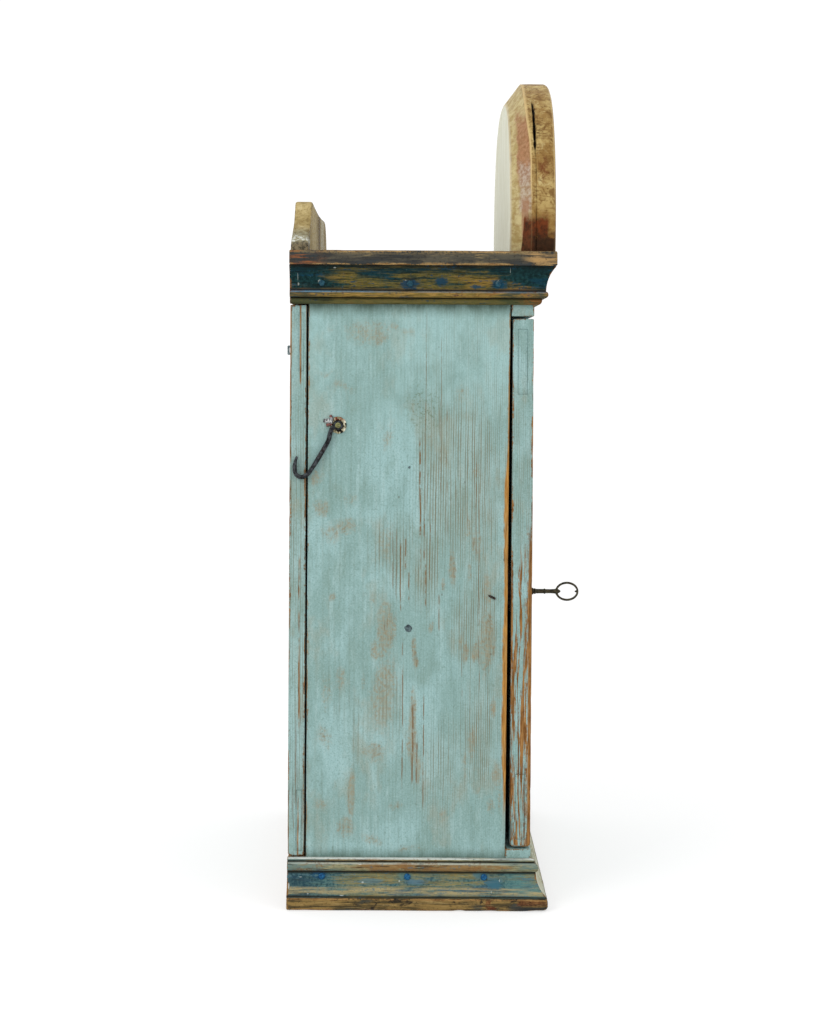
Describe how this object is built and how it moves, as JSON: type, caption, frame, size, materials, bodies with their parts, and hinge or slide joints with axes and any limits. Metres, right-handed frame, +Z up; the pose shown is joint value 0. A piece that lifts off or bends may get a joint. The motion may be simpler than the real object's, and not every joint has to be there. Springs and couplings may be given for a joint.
{
  "type": "wall cupboard",
  "caption": "Worn light-blue painted pine wall cupboard with a locked framed front door, a framed rear door with a side hook, moulded cornice and base, and an arched crest.",
  "frame": {"origin": "centre of the underside of the bottom board", "axes": "+Z up, the front door faces -Y, the key and hook side is -X"},
  "size_m": [0.488, 0.3255, 0.9295],
  "materials": {
    "blue_paint": "worn light blue paint over pine",
    "moulding_paint": "worn dark blue-green paint with ochre showing",
    "edge_board": "rubbed dark paint, bare brown arrises",
    "crest_wood": "old stained pine",
    "bare_pine": "bare aged pine",
    "iron": "dark wrought iron",
    "key_iron": "olive-dark iron",
    "brass_pivot": "tarnished brass"
  },
  "bodies": {
    "case": {"base_moulding_front": "moulding_paint", "base_moulding_left": "moulding_paint", "base_moulding_right": "moulding_paint", "base_nails": "iron", "bottom_board": "edge_board", "carcass_nails": "iron", "cornice_front": "moulding_paint", "cornice_left": "moulding_paint", "cornice_nails": "iron", "cornice_right": "moulding_paint", "crest_backing": "crest_wood", "crest_front": "crest_wood", "crest_nails": "iron", "floor_board": "bare_pine", "front_bottom_rail": "blue_paint", "front_hinge_case_leaves": "iron", "front_hinge_pins": "iron", "front_top_rail": "blue_paint", "hinge_screws_case": "iron", "hook_pivot": "brass_pivot", "lock_keep": "iron", "lock_keep_nails": "iron", "rear_bottom_rail": "bare_pine", "rear_crest_left": "crest_wood", "rear_crest_right": "crest_wood", "rear_hinge_case_leaves": "iron", "rear_hinge_pins": "iron", "rear_top_rail": "bare_pine", "shelf_lower": "bare_pine", "shelf_nails": "iron", "shelf_upper": "bare_pine", "side_board_left": "blue_paint", "side_board_right": "blue_paint", "top_board": "edge_board"},
    "front_door": {"front_door_lock_stile": "blue_paint", "front_door_hinge_stile": "blue_paint", "front_door_top_rail": "blue_paint", "front_door_bottom_rail": "blue_paint", "front_door_panel": "blue_paint", "front_door_pegs": "bare_pine", "front_hinge_door_leaves": "iron", "hinge_screws_front_door": "iron", "lock_case": "iron", "lock_screws": "iron", "lock_spring": "iron", "keyhole_plate": "iron"},
    "rear_door": {"rear_door_free_stile": "blue_paint", "rear_door_hinge_stile": "blue_paint", "rear_door_top_rail": "blue_paint", "rear_door_bottom_rail": "blue_paint", "rear_door_panel": "blue_paint", "rear_door_pegs": "bare_pine", "rear_hinge_door_leaves": "iron", "hinge_screws_rear_door": "iron", "rear_door_pull": "iron"},
    "key": {"key": "key_iron"},
    "lock_bolt": {"lock_bolt": "iron"},
    "hook": {"hook": "iron"}
  },
  "joints": [
    {"name": "front_door_swing", "type": "hinge", "parent": "case", "child": "front_door", "pos_m": [0.2234, -0.0999, 0.356], "axis": [0, 0, 1], "range_deg": [0, 150]},
    {"name": "rear_door_swing", "type": "hinge", "parent": "case", "child": "rear_door", "pos_m": [0.2234, 0.12397, 0.357], "axis": [0, 0, -1], "range_deg": [0, 150]},
    {"name": "key_turn", "type": "hinge", "parent": "front_door", "child": "key", "pos_m": [-0.185, -0.124, 0.3438], "axis": [0, 1, 0], "range_deg": [0, 180]},
    {"name": "bolt_slide", "type": "slide", "parent": "front_door", "child": "lock_bolt", "axis": [-1, 0, 0], "range_m": [0, 0.009]},
    {"name": "hook_swing", "type": "hinge", "parent": "case", "child": "hook", "pos_m": [-0.2244, 0.0899, 0.5289], "axis": [1, 0, 0], "range_deg": [-150, 120]}
  ],
  "couplings": [
    {"joint": "bolt_slide", "follows": "key_turn", "m_per_rad": 0.0028647}
  ]
}
